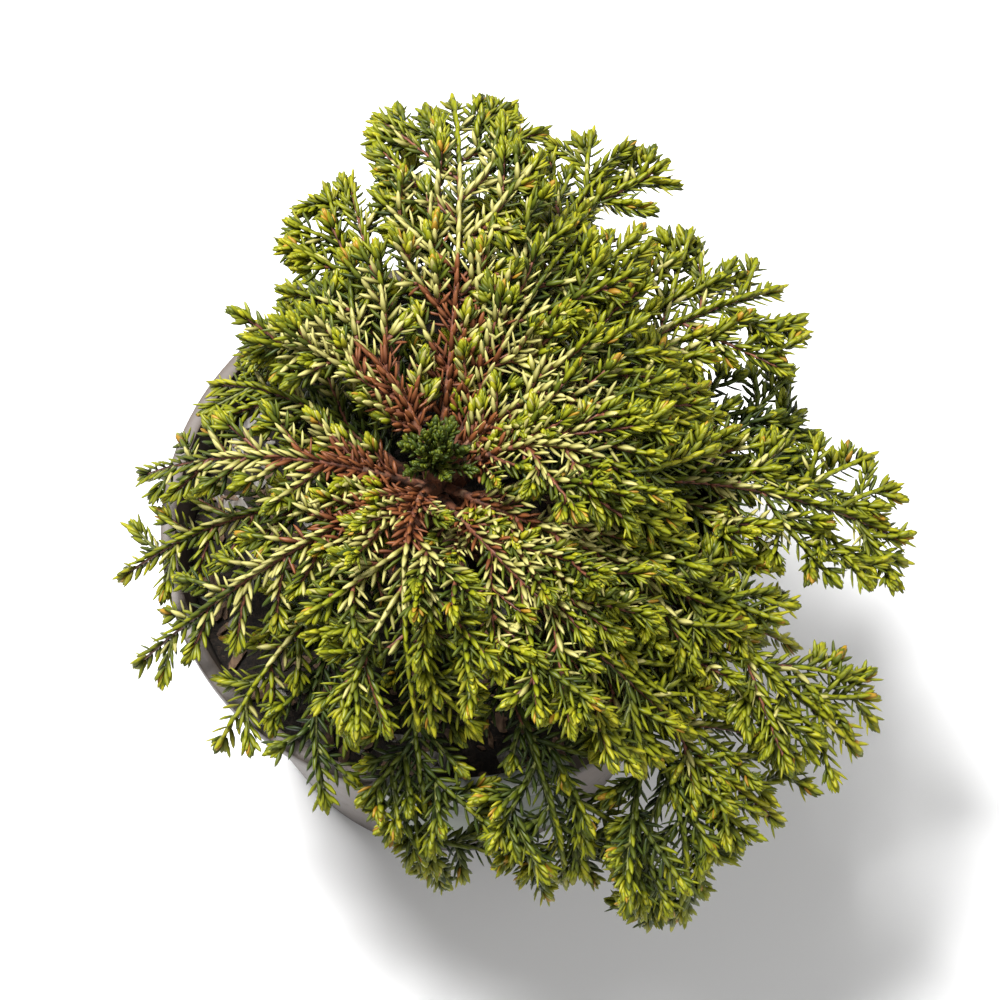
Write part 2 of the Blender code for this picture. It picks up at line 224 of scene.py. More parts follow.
def pot_shell():
    """The pot's profile, from the middle of its underside over the rim, spun about its axis."""
    foot = BASE_RADIUS - FOOT_WIDTH
    wall_top = RIM_RADIUS - RIM_WIDTH + WALL
    at_step = BASE_RADIUS + (wall_top - BASE_RADIUS) * (1 - STEP_DROP / POT_HEIGHT)
    skirt = RIM_RADIUS - WALL
    under_rim = POT_HEIGHT - RIM_DROP
    inside_rim = RIM_RADIUS - RIM_WIDTH
    floor_edge = inner_radius(FLOOR_EDGE)
    profile = [
        (0, FOOT_HOLLOW),
        (foot, FOOT_HOLLOW),
        (foot + WALL, 0),
        (BASE_RADIUS - WALL, 0),
        (BASE_RADIUS - WALL / 3, WALL / 3),
        (BASE_RADIUS, WALL),
        (at_step - NICK, POT_HEIGHT - STEP_DROP - 1.5 * NICK),
        (at_step, POT_HEIGHT - STEP_DROP),
        (wall_top, POT_HEIGHT - LIP),
        (skirt, POT_HEIGHT - LIP),
        (skirt, under_rim + NICK),
        (skirt + 1.25 * NICK, under_rim),
        (RIM_RADIUS - 0.75 * NICK, under_rim),
        (RIM_RADIUS, under_rim + NICK),
        (RIM_RADIUS, POT_HEIGHT - SOFT_EDGE),
        (RIM_RADIUS - 0.3 * SOFT_EDGE, POT_HEIGHT - 0.3 * SOFT_EDGE),
        (RIM_RADIUS - SOFT_EDGE, POT_HEIGHT),
        (inside_rim + SOFT_EDGE, POT_HEIGHT),
        (inside_rim + 0.3 * SOFT_EDGE, POT_HEIGHT - 0.3 * SOFT_EDGE),
        (inside_rim, POT_HEIGHT - SOFT_EDGE),
        (inner_radius(MID_WALL), MID_WALL),
        (floor_edge, FLOOR_EDGE),
        (floor_edge - 4 * NICK, FLOOR_TOP),
        (0, FLOOR_TOP),
    ]
    bm = bmesh.new()
    verts = [bm.verts.new((radius, 0, height)) for radius, height in profile]
    edges = [bm.edges.new(pair) for pair in zip(verts, verts[1:])]
    bmesh.ops.spin(
        bm, geom=verts + edges, axis=(0, 0, 1), cent=(0, 0, 0), steps=POT_STEPS, angle=math.tau,
        use_merge=True,
    )
    bmesh.ops.remove_doubles(bm, verts=bm.verts, dist=1e-6)
    bmesh.ops.recalc_face_normals(bm, faces=bm.faces)
    return bm


def pot_plastic():
    finish = Finish("pot_plastic")
    height = finish.axis("Z")
    mottle = finish.noise(scale=90, detail=5)
    streaks = finish.noise(scale=14, detail=4, vector=finish.stretched(9, 9, 0.7))
    scratches = finish.noise(scale=420, detail=2).rise(0.60, 0.74)
    scuffs = scratches * finish.noise(scale=22, detail=2).rise(0.45, 0.62)
    colour = finish.blend(mottle.rise(0.2, 0.6) * 0.5 + 0.45, TAUPE_DARK, TAUPE)
    colour = finish.blend(streaks.rise(0.45, 0.75) * STREAK_SHARE, colour, TAUPE_WORN)
    colour = finish.blend(scuffs * SCUFF_SHARE, colour, TAUPE_WORN)
    shade = (1 - height.rise(0.0, FOOT_SHADE_TOP)) * FOOT_SHADE
    colour = finish.blend(shade, colour, TAUPE_DARK)
    plan = finish.node(
        "ShaderNodeVectorMath", {"operation": "LENGTH"}, {0: finish.stretched(1, 1, 0)}, "Value"
    )
    slope = (inner_radius(POT_HEIGHT) - inner_radius(0)) / POT_HEIGHT
    # The inner wall is darkened nearly to black, and made rougher, from the bottom up to a wavy
    # line near the rim
    inside = plan < height * slope + (inner_radius(0) + 0.4 * WALL)
    dark_line = height + finish.noise(scale=60, detail=4) * INNER_WALL_DARK_WAVES
    inner_wall_dark = inside * (1 - dark_line.rise(*INNER_WALL_DARK_EDGE)) * INNER_WALL_DARK_SHARE
    colour = finish.blend(inner_wall_dark, colour, INNER_WALL_DARK)
    rough = 0.42 + mottle * 0.18 + scuffs * 0.2 + inner_wall_dark * 0.3
    grain = mottle + finish.noise(scale=1500, detail=2) * 0.5
    return finish.wear(colour, rough, grain, depth=0.00012, strength=0.5)


def drill_drains(pot):
    """Cuts the drain holes through the pot's floor by one Boolean, and applies it."""
    drills = bmesh.new()
    for hole in range(DRAIN_HOLES):
        spot = at_bearing(DRAIN_CIRCLE, 360 / DRAIN_HOLES * hole)
        bmesh.ops.create_cone(
            drills, cap_ends=True, segments=DRAIN_SIDES, radius1=DRAIN_RADIUS,
            radius2=DRAIN_RADIUS, depth=DRILL_LENGTH, matrix=Matrix.Translation(spot),
        )
    mesh = bpy.data.meshes.new("drain_drills")
    drills.to_mesh(mesh)
    drills.free()
    drill = bpy.data.objects.new("drain_drills", mesh)
    bpy.context.scene.collection.objects.link(drill)
    cut = pot.modifiers.new("Drain holes", "BOOLEAN")
    cut.object, cut.operation, cut.solver = drill, "DIFFERENCE", "EXACT"
    graph = bpy.context.evaluated_depsgraph_get()
    pot.data = bpy.data.meshes.new_from_object(pot.evaluated_get(graph))
    pot.modifiers.clear()
    bpy.data.objects.remove(drill, do_unlink=True)


pot = show("pot_shell", pot_shell(), pot_plastic())
drill_drains(pot)
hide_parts("pot")


# The label: a thin blank strip of plastic, hooked over the rim at the front by its own bend.
# Its top edge and the part over the rim are pale grey, and its face is a dark grey green that
# has faded in patches.

LABEL_BEARING = 276
LABEL_ARC = 36
LABEL_DROP = 0.050
LABEL_HOOK = 0.010
LABEL_THICK = 0.0005
LABEL_GAP = 0.0003
LABEL_STEPS = 36
LABEL_BEND = 0.001
LABEL_EDGE = (POT_HEIGHT - 0.0075, POT_HEIGHT - 0.0070)
LABEL_PALE = (0.30, 0.31, 0.29)
LABEL_DARK = (0.075, 0.095, 0.070)
LABEL_FADED = (0.14, 0.16, 0.12)


def label_strip():
    over = POT_HEIGHT + LABEL_GAP
    outside = RIM_RADIUS + LABEL_GAP
    inside = RIM_RADIUS - RIM_WIDTH - 2 * LABEL_GAP
    face_end = POT_HEIGHT - LABEL_DROP
    hook_end = POT_HEIGHT - LABEL_HOOK
    hook_inside = inner_radius(hook_end) - 2 * LABEL_GAP
    profile = [
        (outside + LABEL_THICK, face_end),
        (outside + LABEL_THICK, POT_HEIGHT - LABEL_BEND),
        (outside + 0.6 * LABEL_THICK, over + 0.7 * LABEL_THICK),
        (outside - 0.8 * LABEL_THICK, over + LABEL_THICK),
        (inside, over + LABEL_THICK),
        (inside - LABEL_THICK, over + 0.3 * LABEL_THICK),
        (hook_inside - LABEL_THICK, hook_end),
        (hook_inside, hook_end),
        (inside, over),
        (outside, over),
        (outside, face_end),
    ]
    bm = bmesh.new()
    face = bm.faces.new([bm.verts.new((radius, 0, height)) for radius, height in profile])
    start = Matrix.Rotation(math.radians(LABEL_BEARING - LABEL_ARC / 2), 3, "Z")
    bmesh.ops.rotate(bm, verts=bm.verts, matrix=start)
    bmesh.ops.spin(
        bm, geom=[face], axis=(0, 0, 1), cent=(0, 0, 0), steps=LABEL_STEPS,
        angle=math.radians(LABEL_ARC),
    )
    bmesh.ops.recalc_face_normals(bm, faces=bm.faces)
    return bm


def label_plastic():
    finish = Finish("label_plastic")
    fade = finish.noise(scale=45, detail=4)
    scratches = finish.noise(scale=60, detail=3, vector=finish.stretched(1, 1, 14))
    face = finish.blend(fade.rise(0.35, 0.7), LABEL_DARK, LABEL_FADED)
    face = finish.blend(scratches.rise(0.62, 0.72) * 0.25, face, LABEL_PALE)
    edge = finish.blend(fade * 0.5, LABEL_PALE, LABEL_FADED)
    colour = finish.blend(finish.axis("Z").rise(*LABEL_EDGE), face, edge)
    return finish.wear(colour, 0.3 + fade * 0.2, fade, depth=0.0001, strength=0.4)


label = show("label_strip", label_strip(), label_plastic())
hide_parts("label")


# The soil: dark damp potting compost pressed into the pot, its top crumbly and littered with
# small chips of brown and grey bark. The bed is one rough disc, and the chips are joined to two
# pieces by colour.

STEM_SPOT = Vector((-0.0037, -0.0030, 0))
SOIL_ROWS = 150
SOIL_SINK = 0.0012
SOIL_GAP = 0.0004
SOIL_FOOT_GAP = 0.0005
SOIL_UNDERSIDE = 0.0028
SOIL_LUMPS = 0.0022
SOIL_LUMP_SCALE = 90
SOIL_CRUMBS = 0.0006
SOIL_CRUMB_SCALE = 900
SOIL_HEAP = 0.0022
SOIL_HEAP_RADIUS = 0.018
SOIL_BLACK = (0.010, 0.0075, 0.0055)
SOIL_BROWN = (0.045, 0.030, 0.020)
CHIP_BROWN = ((0.085, 0.045, 0.025), (0.21, 0.13, 0.075))
CHIP_GREY = ((0.12, 0.11, 0.10), (0.30, 0.28, 0.25))
# Each kind of chip: its seed, how many, their lengths, their thicknesses and their colours
CHIPS = {
    "brown_bark_chips": (3, 520, (0.0025, 0.010), (0.0008, 0.0020), CHIP_BROWN),
    "grey_bark_chips": (4, 150, (0.004, 0.014), (0.0008, 0.0018), CHIP_GREY),
}
CHIP_MARGIN = 0.004
# Their breadths as shares of their lengths, and their greatest tilts in radians
CHIP_BREADTH = (0.25, 0.6)
CHIP_TILT = (0.35, 0.25)
CHIP_LIFT = 0.0012
CHIP_ROUGHNESS = 0.18


def soil_height(x, y):
    """The height of the soil's crumbly top at a place, heaped a little round the stem."""
    place = Vector((x, y, 0))
    lumps = noise.fractal(place * SOIL_LUMP_SCALE, 0.9, 2.2, 4) * SOIL_LUMPS
    crumbs = noise.noise(place * SOIL_CRUMB_SCALE) * SOIL_CRUMBS
    away = (place - STEM_SPOT).length / SOIL_HEAP_RADIUS
    return SOIL_TOP - SOIL_SINK + lumps + crumbs + SOIL_HEAP * math.exp(-away ** 2)


def soil_bed():
    """A square grid drawn to a disc and roughened, then closed down to the pot's floor."""
    bm = bmesh.new()
    bmesh.ops.create_grid(bm, x_segments=SOIL_ROWS, y_segments=SOIL_ROWS, size=1)
    reach = inner_radius(SOIL_TOP) - SOIL_GAP
    for vert in bm.verts:
        x, y = vert.co.x, vert.co.y
        round_x = x * math.sqrt(1 - y * y / 2)
        round_y = y * math.sqrt(1 - x * x / 2)
        vert.co = (round_x * reach, round_y * reach, 0)
        vert.co.z = soil_height(vert.co.x, vert.co.y)
    border = [edge for edge in bm.edges if edge.is_boundary]
    grown = bmesh.ops.extrude_edge_only(bm, edges=border)["geom"]
    shrink = (inner_radius(FLOOR_EDGE) - SOIL_FOOT_GAP) / reach
    for vert in grown:
        if isinstance(vert, bmesh.types.BMVert):
            vert.co = (vert.co.x * shrink, vert.co.y * shrink, SOIL_UNDERSIDE)
    bmesh.ops.contextual_create(bm, geom=[edge for edge in bm.edges if edge.is_boundary])
    bmesh.ops.recalc_face_normals(bm, faces=bm.faces)
    return bm


def potting_soil():
    finish = Finish("potting_soil")
    crumb = finish.noise(scale=500, detail=6, roughness=0.7)
    damp = finish.noise(scale=40, detail=3).rise(0.5, 0.8)
    fibres = finish.noise(scale=260, detail=2, vector=finish.stretched(1, 5, 1))
    colour = finish.blend(crumb.rise(0.42, 0.72), SOIL_BLACK, SOIL_BROWN)
    colour = finish.blend(fibres.rise(0.66, 0.74) * 0.5, colour, CHIP_BROWN[1])
    return finish.wear(colour, 0.95 - damp * 0.3, crumb, depth=0.0012)


def chip_bark(name, colours):
    finish = Finish(name)
    grain = finish.noise(scale=700, detail=4, vector=finish.stretched(1, 0.35, 1))
    smears = finish.noise(scale=120, detail=2).rise(0.5, 0.7)
    colour = finish.blend(grain.rise(0.3, 0.7), *colours)
    colour = finish.blend(smears * 0.7, colour, SOIL_BROWN)
    return finish.wear(colour, 0.7 + grain * 0.25, grain, depth=0.0005, strength=0.8)


def scatter_chips(seed, count, length, thickness):
    """Flat splinters of bark that lie at all angles on the soil's top."""
    rng = random.Random(seed)
    bm = bmesh.new()
    reach = inner_radius(SOIL_TOP) - CHIP_MARGIN
    for _ in range(count):
        spot = at_bearing(reach * math.sqrt(rng.uniform(0.01, 1)), rng.uniform(0, 360))
        long = rng.uniform(*length)
        wide = long * rng.uniform(*CHIP_BREADTH)
        thick = rng.uniform(*thickness)
        spot.z = soil_height(spot.x, spot.y) + 0.4 * thick + rng.uniform(0, CHIP_LIFT)
        roll = Matrix.Rotation(rng.uniform(-CHIP_TILT[0], CHIP_TILT[0]), 4, "X")
        pitch = Matrix.Rotation(rng.uniform(-CHIP_TILT[1], CHIP_TILT[1]), 4, "Y")
        turn = Matrix.Rotation(rng.uniform(0, math.tau), 4, "Z")
        size = Matrix.Diagonal((long, wide, thick, 1))
        made = bmesh.ops.create_icosphere(
            bm, subdivisions=1, radius=0.5,
            matrix=Matrix.Translation(spot) @ turn @ roll @ pitch @ size,
        )
        for vert in made["verts"]:
            push = Vector([rng.uniform(-1, 1) for _ in range(3)])
            vert.co += push * CHIP_ROUGHNESS * min(wide, 2 * thick)
    return bm


bed = show("soil_bed", soil_bed(), potting_soil(), smooth_under=70)
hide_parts("soil")
for name, (seed, count, length, thickness, colours) in CHIPS.items():
    splinters = scatter_chips(seed, count, length, thickness)
    chips = show(name, splinters, chip_bark(name, colours), smooth_under=30)


# The stem: short, upright and red brown, with a fluted flare at its foot and young bark that
# splits in upright ridges. It is one loft of rings, each ring pushed in and out for the ridges.

STEM_HEIGHT = 0.044
STEM_FOOT_RADIUS = 0.0095
STEM_NECK_RADIUS = 0.0062
STEM_TOP_RADIUS = 0.0040
STEM_FLARE = 0.014
STEM_FLUTES = 5
STEM_FLUTE_DEPTH = 0.12
STEM_SUNK = 0.003
STEM_TOP_SHARE = 0.8
STEM_RINGS = 60
STEM_SIDES = 48
BARK_RIDGE = 0.00045
BARK_INSET = 0.0002
BARK_RIDGES_ROUND = 4.8
BARK_RIDGES_UP = 156
BARK_DARK = (0.045, 0.018, 0.010)
BARK_RED = (0.20, 0.070, 0.032)
BARK_PALE = (0.33, 0.19, 0.11)


def stem_radius(height):
    """The stem's radius at a height over its foot: a root flare, then a long taper."""
    share = height / (POT_HEIGHT - SOIL_TOP + STEM_HEIGHT)
    taper = STEM_NECK_RADIUS + (STEM_TOP_RADIUS - STEM_NECK_RADIUS) * share
    flare = max(0.0, 1 - height / STEM_FLARE) ** 2
    return taper + (STEM_FOOT_RADIUS - STEM_NECK_RADIUS) * flare


def bark_radius(height, angle, close):
    """The stem's radius with its flutes, drawn in by close, and the ridges of its bark."""
    flute = STEM_FLUTE_DEPTH * max(0.0, 1 - height / (2 * STEM_FLARE))
    swell = 1 + flute * math.cos(STEM_FLUTES * angle)
    place = Vector((
        BARK_RIDGES_ROUND * math.cos(angle), BARK_RIDGES_ROUND * math.sin(angle),
        BARK_RIDGES_UP * height,
    ))
    ridge = BARK_RIDGE * noise.fractal(place, 0.9, 2.1, 4) - BARK_INSET
    return stem_radius(height) * swell * close + ridge


def stem_bark():
    bm = bmesh.new()
    bmesh.ops.create_circle(bm, cap_ends=True, segments=STEM_SIDES, radius=1)
    face = bm.faces[:][0]
    rings = [list(face.verts)]
    for _ in range(STEM_RINGS):
        grown = bmesh.ops.extrude_face_region(bm, geom=[face])["geom"]
        face = next(item for item in grown if isinstance(item, bmesh.types.BMFace))
        rings.append(list(face.verts))
    length = POT_HEIGHT + STEM_HEIGHT - SOIL_TOP + STEM_SUNK
    foot = SOIL_TOP - STEM_SUNK
    for number, ring in enumerate(rings):
        height = length * number / STEM_RINGS
        close = STEM_TOP_SHARE if number == STEM_RINGS else 1
        for vert in ring:
            angle = math.atan2(vert.co.y, vert.co.x)
            radius = bark_radius(height, angle, close)
            vert.co = STEM_SPOT + at_bearing(radius, math.degrees(angle), foot + height)
    bmesh.ops.recalc_face_normals(bm, faces=bm.faces)
    return bm


def young_bark():
    finish = Finish("young_bark")
    ridges = finish.noise(scale=500, detail=5, roughness=0.6, vector=finish.stretched(1, 1, 0.25))
    scales = finish.noise(scale=240, detail=3).rise(0.55, 0.72)
    colour = finish.blend(ridges.rise(0.38, 0.62), BARK_DARK, BARK_RED)
    colour = finish.blend(scales * 0.7, colour, BARK_PALE)
    return finish.wear(colour, 0.62 + ridges * 0.25, ridges, depth=0.0006, strength=0.9)


bark = young_bark()
stem = show("stem_bark", stem_bark(), bark, smooth_under=60)
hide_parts("stem")


# The boughs: twenty-six thin limbs in four tiers, which rise from the stem, arch over and reach
# out to the crown's edge. Each is one tapering tube of the same red bark along its own line.

# Each bough is given by the bearing of its tip in degrees from +X towards +Y, its reach from the
# stem and its tip's height over the rim in millimetres, and how far its bearing turns on the way.
TIERS = {
    "upper": [
        (344, 76, 46, 22),
        (18, 88, 40, 14),
        (60, 94, 50, -4),
        (88, 126, 55, -8),
        (136, 81, 30, -22),
        (173, 96, 13, 14),
        (207, 106, 1, 15),
        (266, 76, 28, -16),
        (315, 108, 18, -22),
        (338, 120, 8, -20),
    ],
    "middle": [
        (33, 131, 28, 4),
        (62, 132, 38, 10),
        (106, 106, 44, 4),
        (152, 81, 25, -4),
        (190, 103, 0, -2),
        (228, 101, 2, 0),
        (318, 143, -12, -14),
        (330, 151, -2, 4),
        (356, 147, 13, 8),
    ],
    "low": [
        (12, 124, 8, 6),
        (78, 118, 14, -8),
        (128, 86, 8, 8),
        (250, 100, 4, -30),
    ],
    "weeping": [
        (272, 109, -35, -12),
        (290, 117, -31, 0),
        (302, 142, -40, 16),
    ],
}
# Heights over the rim where a tier leaves the stem and where its line is drawn up to, how hard
# that point pulls it outwards, the share of the line that is bare limb, and the limb's radii.
ROOT_HEIGHT = {"upper": 0.036, "middle": 0.020, "low": 0.005, "weeping": 0.002}
CREST_HEIGHT = {"upper": 0.078, "middle": 0.050, "low": 0.032, "weeping": 0.056}
CREST_PULL = {"upper": 0.50, "middle": 0.55, "low": 0.60, "weeping": 0.95}
LIMB_SHARE = {"upper": 0.20, "middle": 0.34, "low": 0.34, "weeping": 0.44}
LIMB_ROOT_RADIUS = {"upper": 0.0017, "middle": 0.0021, "low": 0.0023, "weeping": 0.0023}
LIMB_TIP_RADIUS = 0.0010
LIMB_SIDES = 10
LIMB_RINGS = 22
LIMB_RELIEF = 0.22
LIMB_GRAIN = 900
ROOT_STAGGER = 0.0045


class Bough:
    """One bough's line, from inside the stem's bark to its furthest tip."""

    def __init__(self, tier, number, bearing, reach, tip_height, sweep):
        self.name, self.tier = f"{tier}_{number}", tier
        self.bearing, self.sweep = bearing, sweep
        self.reach, self.tip_height = reach / 1000, tip_height / 1000
        self.root_height = ROOT_HEIGHT[tier] + ROOT_STAGGER * (number % 3 - 1)
        self.root_radius = stem_radius(self.root_height + POT_HEIGHT - SOIL_TOP)

    def at(self, t):
        """The point a share t of the way along: a drawn-up curve that turns in plan."""
        pull = 2 * t * (1 - t)
        out = CREST_PULL[self.tier] * pull + t * t
        radius = self.root_radius + (self.reach - self.root_radius) * out
        crest = CREST_HEIGHT[self.tier] + 0.3 * self.tip_height
        height = (1 - t) ** 2 * self.root_height + pull * crest + t * t * self.tip_height
        bearing = self.bearing + self.sweep * (1 - t)
        return STEM_SPOT + at_bearing(radius, bearing, POT_HEIGHT + height)

    def direction(self, t):
        step = 0.01
        return (self.at(min(t + step, 1)) - self.at(max(t - step, 0))).normalized()

    def length(self, start, end, parts=12):
        marks = [self.at(start + (end - start) * n / parts) for n in range(parts + 1)]
        return sum((b - a).length for a, b in zip(marks, marks[1:]))


def frame_along(direction):
    """A side and an upper direction square to a limb's own direction."""
    side = direction.cross(Vector((0, 0, 1)))
    if side.length < 0.05:
        side = Vector((1, 0, 0))
    side.normalize()
    return side, side.cross(direction).normalized()


def add_tube(points, radii, sides, into, relief=0.0):
    """Adds a tapering tube, closed at both ends, to lists of points and triangles."""
    spots, faces = into
    first = len(spots)
    for index, (point, radius) in enumerate(zip(points, radii)):
        before, after = points[max(index - 1, 0)], points[min(index + 1, len(points) - 1)]
        side, top = frame_along((after - before).normalized())
        for corner in range(sides):
            angle = math.tau * corner / sides
            spot = math.cos(angle) * side + math.sin(angle) * top
            grain = noise.noise((point + radius * spot) * LIMB_GRAIN) if relief else 0.0
            spots.append(point + radius * (1 + relief * grain) * spot)
    for ring in range(len(points) - 1):
        low, high = first + ring * sides, first + (ring + 1) * sides
        for corner in range(sides):
            after = (corner + 1) % sides
            faces.append((low + corner, high + corner, high + after))
            faces.append((low + corner, high + after, low + after))
    last = first + (len(points) - 1) * sides
    for corner in range(1, sides - 1):
        faces.append((first, first + corner, first + corner + 1))
        faces.append((last, last + corner + 1, last + corner))


def joined(name, spots, faces, material, marks=None):
    """One piece from arrays of points and triangles, with a mark for each point as its UV."""
    spots, faces = np.asarray(spots, np.float32), np.asarray(faces, np.int32)
    mesh = bpy.data.meshes.new(name)
    mesh.vertices.add(len(spots))
    mesh.vertices.foreach_set("co", spots.ravel())
    mesh.loops.add(faces.size)
    mesh.loops.foreach_set("vertex_index", faces.ravel())
    mesh.polygons.add(len(faces))
    mesh.polygons.foreach_set("loop_start", np.arange(0, faces.size, 3, dtype=np.int32))
    mesh.update(calc_edges=True)
    mesh.validate()
    if marks is not None:
        layer = mesh.uv_layers.new(name="along_and_tone")
        layer.data.foreach_set("uv", np.asarray(marks, np.float32)[faces.ravel()].ravel())
    mesh.shade_smooth()
    mesh.materials.append(material)
    obj = bpy.data.objects.new(name, mesh)
    bpy.context.scene.collection.objects.link(obj)
    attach(obj, "root")
    return obj


boughs = [
    Bough(tier, number, *row)
    for tier, rows in TIERS.items()
    for number, row in enumerate(rows, start=1)
]
limb_parts = ([], [])
for bough in boughs:
    root, share = LIMB_ROOT_RADIUS[bough.tier], LIMB_SHARE[bough.tier]
    steps = [n / LIMB_RINGS for n in range(LIMB_RINGS + 1)]
    points = [bough.at(share * step) for step in steps]
    radii = [root + (LIMB_TIP_RADIUS - root) * step for step in steps]
    add_tube(points, radii, LIMB_SIDES, limb_parts, LIMB_RELIEF)
limbs = joined("bough_bark", *limb_parts, bark)
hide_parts(*["bough_" + bough.name for bough in boughs])


# The twigs: each bough carries on as a leader, with side shoots to left and right of it, a
# smaller pair on each of those, and short spurs between. They are soft young wood, red brown on
# the old shoots and green near the tips, and are joined to one piece of each colour.

SEED = 11
BOUGH_MARKS = 40
NEAR_MARKS = 60
MARK_STEP = 0.0020
FEWEST_MARKS = 3
SHOOT_RISE = (-10, 24)
SHOOT_SWAY = 22
LEADER_START = {"upper": 0.07, "middle": 0.16, "low": 0.16, "weeping": 0.16}
SIDE_PITCH = 0.0092
SIDE_ANGLE = 43
SIDE_ANGLE_VARIES = 9
SIDE_DROOP = 6
SIDE_LENGTH = (0.020, 0.052)
SIDE_LENGTH_VARIES = (0.78, 1.12)
SIDE_START = 0.55
CHILD_ANGLE = 42
CHILD_ANGLE_VARIES = 6
CHILD_LEAST = 0.024
CHILD_PLACE = (0.38, 0.12)
CHILD_LENGTH = 0.55
SPUR_PLACES = (0.26, 0.68)
SPUR_ANGLE = (36, 52)
SPUR_LIFT = (-8, 30)
SPUR_LENGTH = (0.010, 0.018)
INNER_SHOOTS = 5
INNER_ANGLE = (32, 48)
INNER_LENGTH = (0.012, 0.026)
# The crown is thinner on the side where the soil and the rim show
THIN_SIDE = (145, 262)
THIN_SHARE = 0.48
# A shoot may pass the middle between two boughs and the frame's box by this much
CELL_SLACK = 0.0035
OVER_BOX = 0.004
# The crown's edge is a lobe round each bough's tip, which falls away to either hand
LOBE_REACH = 1.02
LOBE_FALL = 0.45
LOBE_WIDTH = 28
# Shoots keep out of a ring round the pot's wall, below a height just over its rim
WALL_ROOM = (0.0845, 0.1015)
RIM_ROOM = POT_HEIGHT + 0.0035
SOIL_ROOM = SOIL_TOP + 0.004
TUFT_SHOOTS = 15
TUFT_HEIGHT = 0.012
TUFT_SUNK = 0.004
TUFT_LEAN = (15, 55)
TUFT_SHOOT_LENGTH = 0.013
TUFT_SCALE = 0.62
GOLDEN_ANGLE = 137.5
TWIG_SIDES = 5
TWIG_RADIUS = 0.00085
TWIG_TIP_RADIUS = 0.0004
LEADER_THICKER = 1.2
SIDE_THINNER = 0.85
OLD_WOOD_START = 0.42
TWIG_COLOURS = {
    "bronze": ((0.060, 0.020, 0.012), (0.23, 0.075, 0.035)),
    "green": ((0.06, 0.075, 0.012), (0.19, 0.20, 0.040)),
}

bough_marks = [
    (own, bough.at(n / BOUGH_MARKS))
    for own, bough in enumerate(boughs)
    for n in range(BOUGH_MARKS + 1)
]
bough_tree = KDTree(len(bough_marks))
for number, (_, mark) in enumerate(bough_marks):
    bough_tree.insert(mark, number)
bough_tree.balance()
box_low = cad_box[0] - Vector((OVER_BOX,) * 3)
box_high = cad_box[1] + Vector((OVER_BOX,) * 3)


def in_own_room(point, bough):
    """Whether a point is nearer to its own bough than to any other, give or take the slack."""
    nearest = {}
    for _, number, distance in bough_tree.find_n(point, NEAR_MARKS):
        nearest.setdefault(bough_marks[number][0], distance)
    own = nearest.get(boughs.index(bough))
    return own is not None and own - min(nearest.values()) < CELL_SLACK


def in_box(point):
    return all(box_low[axis] <= point[axis] <= box_high[axis] for axis in range(3))


def crown_edge(bearing):
    """How far from the stem the crown reaches at a bearing."""
    turns = [(abs((bearing - bough.bearing + 180) % 360 - 180), bough.reach) for bough in boughs]
    return max(
        reach * (LOBE_REACH - LOBE_FALL * (turn / LOBE_WIDTH) ** 2) for turn, reach in turns
    )


def on_thin_side(bough):
    return THIN_SIDE[0] < bough.bearing < THIN_SIDE[1]


class Shoot:
    """A shoot's line as marks a needle pair apart, and how far out in its bough it begins."""

    def __init__(self, bough, points, up, start, scale=1.0):
        self.bough, self.points, self.up = bough, points, up
        self.start, self.scale = start, scale

    def clip(self):
        """Ends the shoot where it leaves its room or meets the pot, and lifts it off the soil."""
        kept = []
        for point in self.points:
            plan = math.hypot(point.x, point.y)
            if WALL_ROOM[0] < plan < WALL_ROOM[1] and point.z < RIM_ROOM:
                break
            away = point - STEM_SPOT
            edge = crown_edge(math.degrees(math.atan2(away.y, away.x)))
            if away.xy.length > edge or not in_box(point):
                break
            if len(kept) > FEWEST_MARKS and not in_own_room(point, self.bough):
                break
            if plan <= WALL_ROOM[0]:
                point.z = max(point.z, SOIL_ROOM)
            kept.append(point)
        self.points = kept
        return self

    def mark(self, share):
        """The mark at a share of the shoot's length."""
        return self.points[min(len(self.points) - 1, round(share * len(self.points)))]


def turned(direction, normal, degrees):
    return (Matrix.Rotation(math.radians(degrees), 3, normal) @ direction).normalized()


def arched(root, direction, up, length, rng):
    """Marks along a shoot that bends a little up and to one side as it grows."""
    count = max(2, round(length / MARK_STEP))
    side = direction.cross(up).normalized()
    rise = rng.uniform(*SHOOT_RISE) / count
    sway = rng.uniform(-SHOOT_SWAY, SHOOT_SWAY) / count
    points = [root.copy()]
    for _ in range(count):
        direction = turned(turned(direction, side, rise), up, sway)
        points.append(points[-1] + direction * length / count)
    return points


def side_shoots(shoots, bough, root, direction, up, length, start, rng):
    """A side shoot, the pair that grows from it, and its short spurs."""
    main = Shoot(bough, arched(root, direction, up, length, rng), up, start).clip()
    shoots.append(main)
    if length < CHILD_LEAST:
        return
    thin = on_thin_side(bough)
    hands = (rng.choice((-1, 1)),) if thin else (-1, 1)
    for hand in hands:
        vary = rng.uniform(-CHILD_ANGLE_VARIES, CHILD_ANGLE_VARIES)
        child = turned(direction, up, hand * (CHILD_ANGLE + vary))
        begin = main.mark(CHILD_PLACE[0] + CHILD_PLACE[1] * hand)
        reach = CHILD_LENGTH * length * rng.uniform(0.85, 1)
        line = arched(begin, child, up, reach, rng)
        shoots.append(Shoot(bough, line, up, start + 0.1, scale=0.95).clip())
    for share in () if thin else SPUR_PLACES:
        hand = rng.choice((-1, 1))
        spur = turned(direction, up, hand * rng.uniform(*SPUR_ANGLE))
        spur = turned(spur, spur.cross(up), rng.uniform(*SPUR_LIFT))
        line = arched(main.mark(share), spur, up, rng.uniform(*SPUR_LENGTH), rng)
        shoots.append(Shoot(bough, line, up, start + 0.15, scale=0.9).clip())


def grow_leader(bough, first):
    """The shoot that follows the bough's own line from a share of its length to its tip."""
    marks = round(bough.length(first, 1) / MARK_STEP)
    line = [bough.at(first + (1 - first) * n / marks) for n in range(marks + 1)]
    return Shoot(bough, line, frame_along(bough.direction(0.6))[1], 0.0, scale=1.05).clip()


